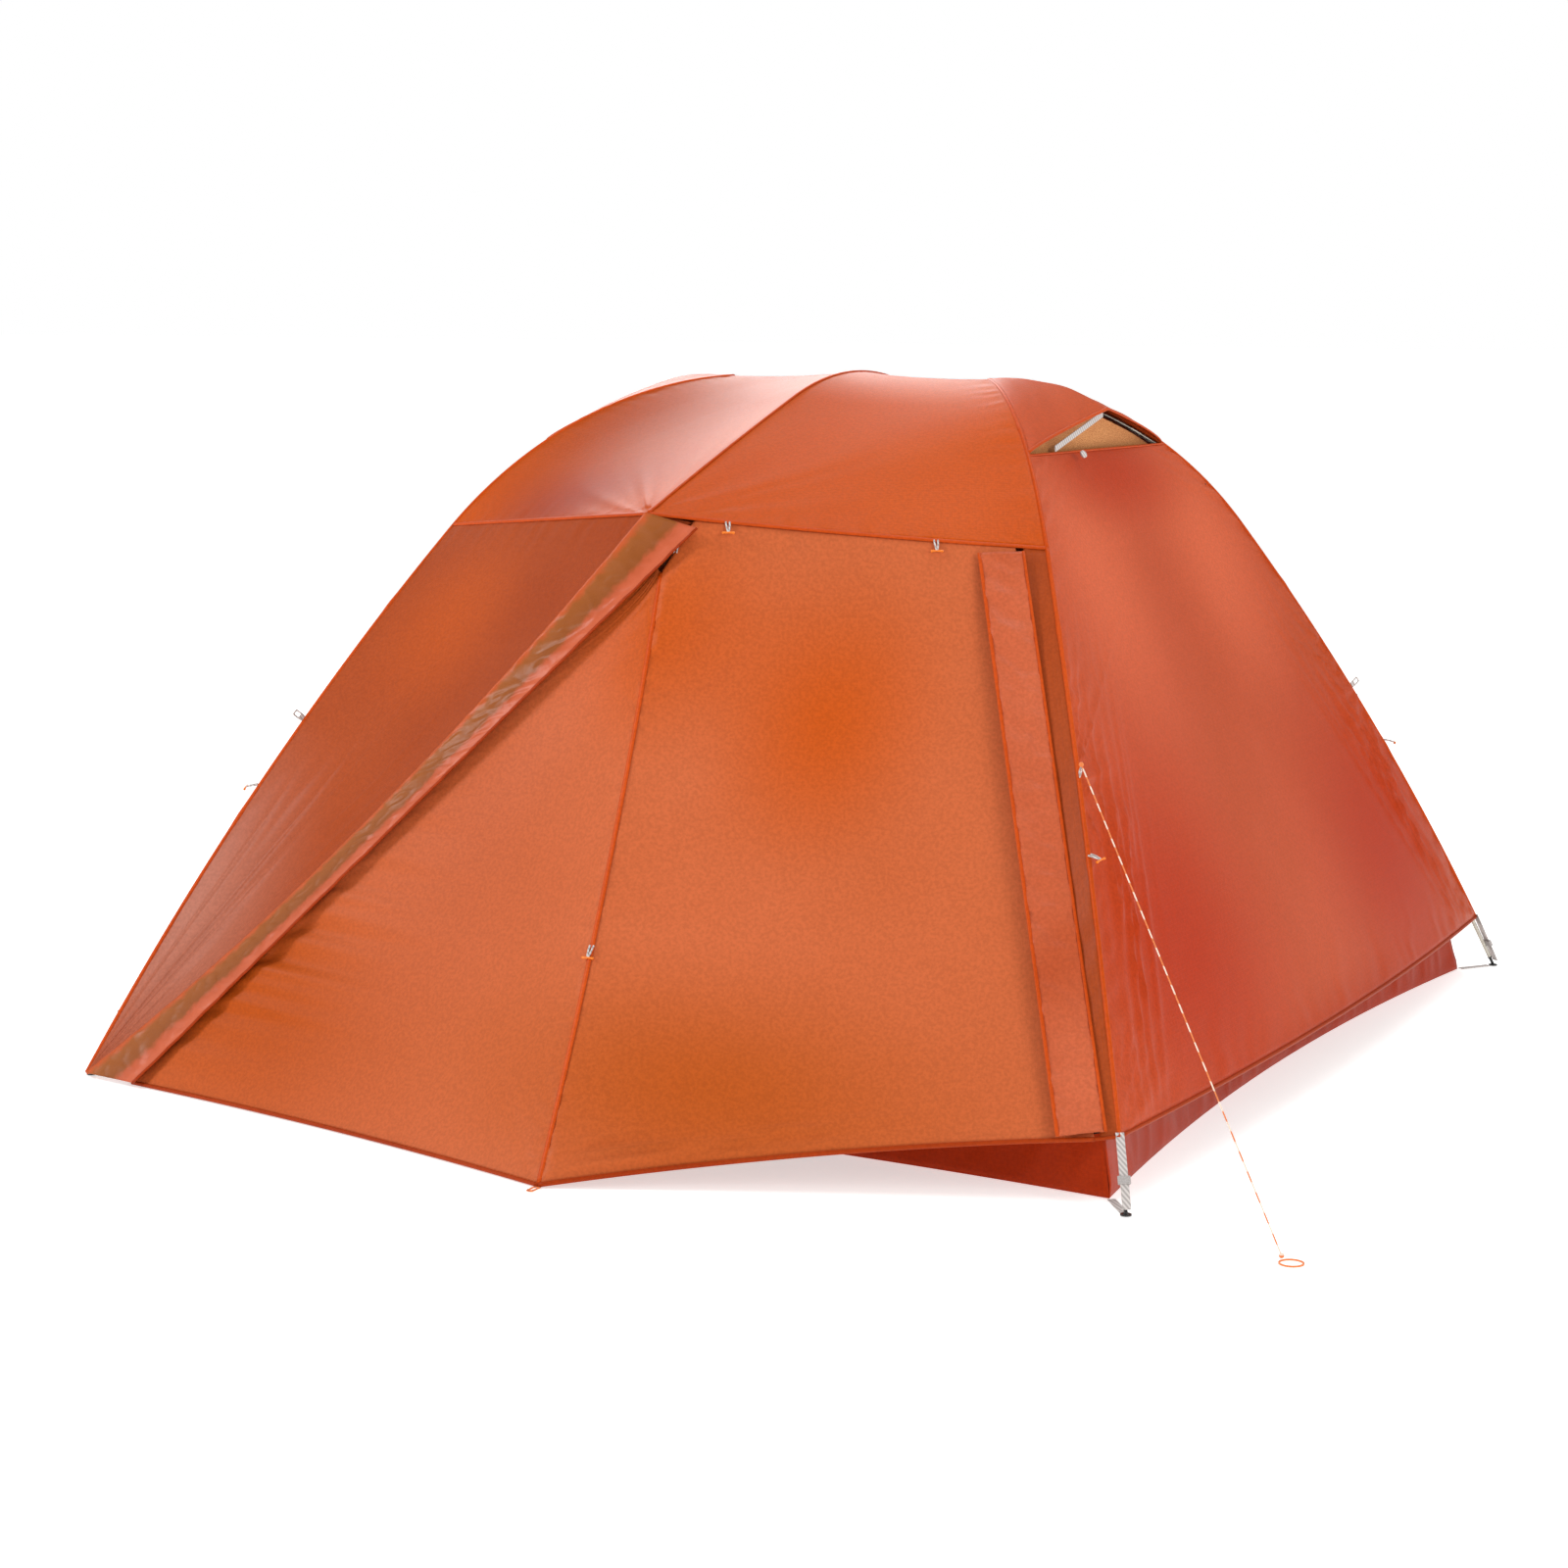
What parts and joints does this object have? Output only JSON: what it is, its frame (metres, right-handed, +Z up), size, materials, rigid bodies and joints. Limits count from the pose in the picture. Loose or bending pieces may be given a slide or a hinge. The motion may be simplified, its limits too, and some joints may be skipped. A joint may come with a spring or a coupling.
{
  "type": "frame tent",
  "caption": "Free-standing frame tent with a hubbed pole frame, inner tent with a tray floor, and an orange fly with zipped vestibules front and back.",
  "frame": {"origin": "middle of the tent at ground level", "axes": "+X along the ridge, -Y out of the front vestibule, +Z up"},
  "size_m": [2.5474, 3.128, 1.3859],
  "materials": {
    "fly_fabric": "silicone-coated ripstop nylon, thin and slightly translucent",
    "floor_fabric": "coated nylon, dark red-orange",
    "inner_fabric": "breathable polyester, pale",
    "mesh": "fine polyester mesh",
    "pole_tube": "anodised tube",
    "pole_fittings": "turned and drawn aluminium",
    "hub_plastic": "moulded nylon",
    "zip_tape": "woven tape with a coil, olive brown",
    "zip_metal": "painted die casting",
    "pull_cord": "grey cord loop",
    "webbing": "woven nylon webbing, pale grey",
    "toggle_plastic": "moulded acetal, orange",
    "grommet_metal": "dark pressed ring",
    "guy_cord": "braided reflective cord, orange"
  },
  "bodies": {
    "tent": {"leg_pole_front_right": "pole_tube", "leg_pole_back_right": "pole_tube", "leg_pole_front_left": "pole_tube", "leg_pole_back_left": "pole_tube", "ridge_pole": "pole_tube", "brow_pole": "pole_tube", "ridge_hubs": "hub_plastic", "brow_swivel": "hub_plastic", "pole_ferrules": "pole_fittings", "pole_tips": "pole_fittings", "fly_roof_right": "fly_fabric", "fly_roof_left": "fly_fabric", "vent_hood_right": "fly_fabric", "vent_hood_left": "fly_fabric", "end_wall_right": "fly_fabric", "end_wall_left": "fly_fabric", "vestibule_side_front": "fly_fabric", "vestibule_side_back": "fly_fabric", "door_left_front": "fly_fabric", "door_left_back": "fly_fabric", "door_right_front": "fly_fabric", "door_right_back": "fly_fabric", "leg_zip_flap_front": "fly_fabric", "leg_zip_flap_back": "fly_fabric", "storm_flap_front": "fly_fabric", "storm_flap_back": "fly_fabric", "diagonal_zip_front": "zip_tape", "diagonal_zip_back": "zip_tape", "leg_zip_front": "zip_tape", "leg_zip_back": "zip_tape", "floor_tray": "floor_fabric", "inner_wall_right": "inner_fabric", "inner_wall_left": "inner_fabric", "inner_wall_front": "inner_fabric", "inner_wall_back": "inner_fabric", "inner_roof": "inner_fabric", "inner_tent_clips": "hub_plastic", "vent_mesh": "mesh", "corner_straps": "webbing", "foot_grommets": "grommet_metal", "guy_loops": "webbing", "guy_line": "guy_cord", "guy_line_knots": "guy_cord", "stake_loops": "webbing", "leg_toggles": "toggle_plastic"},
    "diagonal_slider_front": {"diagonal_slider_front": "zip_metal"},
    "diagonal_slider_back": {"diagonal_slider_back": "zip_metal"},
    "leg_slider_front": {"leg_slider_front": "zip_metal"},
    "leg_slider_back": {"leg_slider_back": "zip_metal"},
    "zip_pull_front": {"zip_pull_front": "pull_cord"},
    "zip_pull_back": {"zip_pull_back": "pull_cord"},
    "vent_strut_right": {"vent_strut_right": "webbing"},
    "vent_strut_left": {"vent_strut_left": "webbing"},
    "strap_adjuster_front": {"strap_adjuster_front": "hub_plastic"},
    "strap_adjuster_back": {"strap_adjuster_back": "hub_plastic"},
    "toggle_top_left": {"toggle_top_left": "toggle_plastic"},
    "toggle_top_right": {"toggle_top_right": "toggle_plastic"},
    "toggle_middle": {"toggle_middle": "toggle_plastic"}
  },
  "joints": [
    {"name": "diagonal_zip_front", "type": "slide", "parent": "tent", "child": "diagonal_slider_front", "axis": [-0.6681, -0.2416, -0.7038], "range_m": [0, 1.49]},
    {"name": "diagonal_zip_back", "type": "slide", "parent": "tent", "child": "diagonal_slider_back", "axis": [-0.6681, 0.2416, -0.7038], "range_m": [0, 1.49]},
    {"name": "leg_zip_front", "type": "slide", "parent": "tent", "child": "leg_slider_front", "axis": [-0.3494, 0.5017, 0.7913], "range_m": [0, 1.12]},
    {"name": "leg_zip_back", "type": "slide", "parent": "tent", "child": "leg_slider_back", "axis": [-0.3494, -0.5017, 0.7913], "range_m": [0, 1.12]},
    {"name": "zip_pull_front_swing", "type": "hinge", "parent": "diagonal_slider_front", "child": "zip_pull_front", "pos_m": [0.05927, -0.88294, 1.09247], "axis": [-0.2153, -0.8426, 0.4936], "range_deg": [-28, 40]},
    {"name": "zip_pull_back_swing", "type": "hinge", "parent": "diagonal_slider_back", "child": "zip_pull_back", "pos_m": [0.05927, 0.88294, 1.09247], "axis": [0.2153, -0.8426, -0.4936], "range_deg": [-28, 40]},
    {"name": "vent_strut_right_fold", "type": "hinge", "parent": "tent", "child": "vent_strut_right", "pos_m": [0.54529, -0.2438, 1.2438], "axis": [-1, 0, 0], "range_deg": [0, 13]},
    {"name": "vent_strut_left_fold", "type": "hinge", "parent": "tent", "child": "vent_strut_left", "pos_m": [-0.54529, -0.2438, 1.2438], "axis": [-1, 0, 0], "range_deg": [0, 13]},
    {"name": "strap_adjuster_front_slide", "type": "slide", "parent": "tent", "child": "strap_adjuster_front", "axis": [0.2774, -0.4274, -0.8604], "range_m": [-0.022, 0.022]},
    {"name": "strap_adjuster_back_slide", "type": "slide", "parent": "tent", "child": "strap_adjuster_back", "axis": [0.2774, 0.4274, -0.8604], "range_m": [-0.022, 0.022]},
    {"name": "toggle_top_left_swing", "type": "hinge", "parent": "tent", "child": "toggle_top_left", "pos_m": [0.13375, -0.84957, 1.12026], "axis": [-0.8466, -0.5322, 0], "range_deg": [0, 100]},
    {"name": "toggle_top_right_swing", "type": "hinge", "parent": "tent", "child": "toggle_top_right", "pos_m": [0.47578, -0.65982, 1.08765], "axis": [-0.8466, -0.5322, 0], "range_deg": [0, 100]},
    {"name": "toggle_middle_swing", "type": "hinge", "parent": "tent", "child": "toggle_middle", "pos_m": [0.08816, -1.28327, 0.38369], "axis": [-0.9997, -0.0235, 0], "range_deg": [0, 100]}
  ]
}
